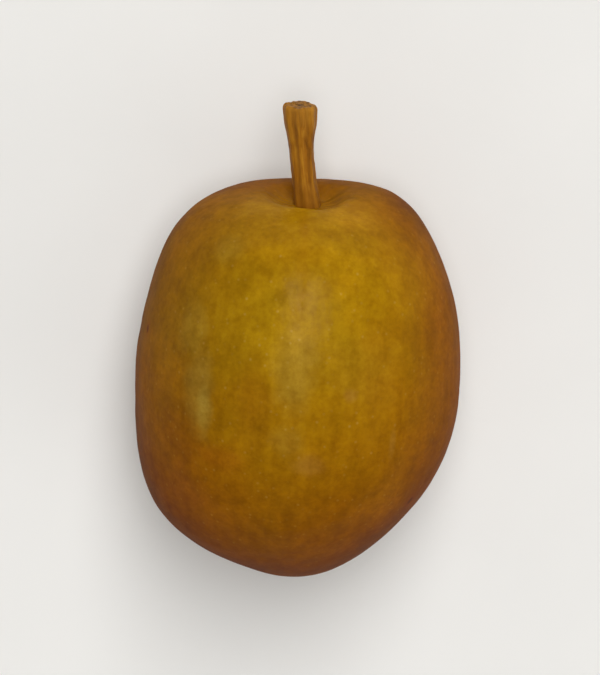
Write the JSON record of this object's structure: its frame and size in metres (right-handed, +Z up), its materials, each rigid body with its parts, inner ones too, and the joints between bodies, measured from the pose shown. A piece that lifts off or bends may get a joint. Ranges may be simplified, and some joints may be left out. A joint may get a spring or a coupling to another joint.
{
  "type": "marinated olive",
  "caption": "Whole green olive cured in oil and brine, lying on its side, with its short woody stalk still in the hollow at its stalk end.",
  "frame": {"origin": "on the surface that the olive rests on, under the middle of the whole object, stalk included", "axes": "+Y along the fruit from its tip to its stalk, +Z up"},
  "size_m": [0.018, 0.027, 0.0177],
  "materials": {
    "skin": "gloss",
    "bark": "matte"
  },
  "bodies": {
    "root": {"fruit": "skin", "stalk": "bark"}
  },
  "joints": []
}
